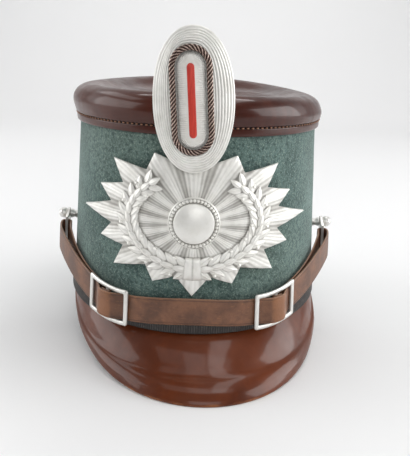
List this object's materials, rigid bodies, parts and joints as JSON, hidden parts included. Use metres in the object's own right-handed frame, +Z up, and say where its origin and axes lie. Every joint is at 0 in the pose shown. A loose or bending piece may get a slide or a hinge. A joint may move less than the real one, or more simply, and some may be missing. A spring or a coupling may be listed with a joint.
{
  "type": "shako hat",
  "caption": "Stiff oval wool-covered shako with a dished crown cap, two peaks, a buckled chin strap, an oval cockade and a silver star plate, open below for the head.",
  "frame": {"origin": "on the ground under the middle of the whole hat's box", "axes": "+Z up, the front with the plate and cockade faces -Y, +X to the right seen from the front"},
  "size_m": [0.193, 0.2642, 0.193],
  "materials": {
    "wool_cloth": "grey-green fulled wool cloth over board, dull and slightly hairy",
    "band_leather": "near-black strip with fine upright ribs",
    "brown_leather": "moulded and varnished red-brown leather, glossy",
    "strap_leather": "worn mid-brown leather, scuffed lighter along its edges and folds",
    "silver_metal": "satin stamped aluminium, slightly dulled in its hollows",
    "pale_metal": "satin wire and sheet, a little scratched",
    "copper_wire": "dark coppery twisted wire with pale worn crests",
    "red_enamel": "semi-gloss red paint"
  },
  "bodies": {
    "root": {"body": "wool_cloth", "base_band": "band_leather", "crown_cap": "brown_leather", "front_peak": "brown_leather", "rear_peak": "brown_leather", "chin_strap": "strap_leather", "strap_buckle_left": "pale_metal", "strap_buckle_right": "pale_metal", "strap_bracket_left": "pale_metal", "strap_bracket_right": "pale_metal", "post_left": "pale_metal", "post_right": "pale_metal", "stud_nut_left": "pale_metal", "stud_nut_right": "pale_metal", "plate_star": "silver_metal", "plate_wreath": "silver_metal", "plate_boss": "silver_metal", "cockade_base": "silver_metal", "cockade_oval": "silver_metal", "cockade_cord": "copper_wire", "cockade_bar": "red_enamel", "cockade_socket": "strap_leather"}
  },
  "joints": []
}
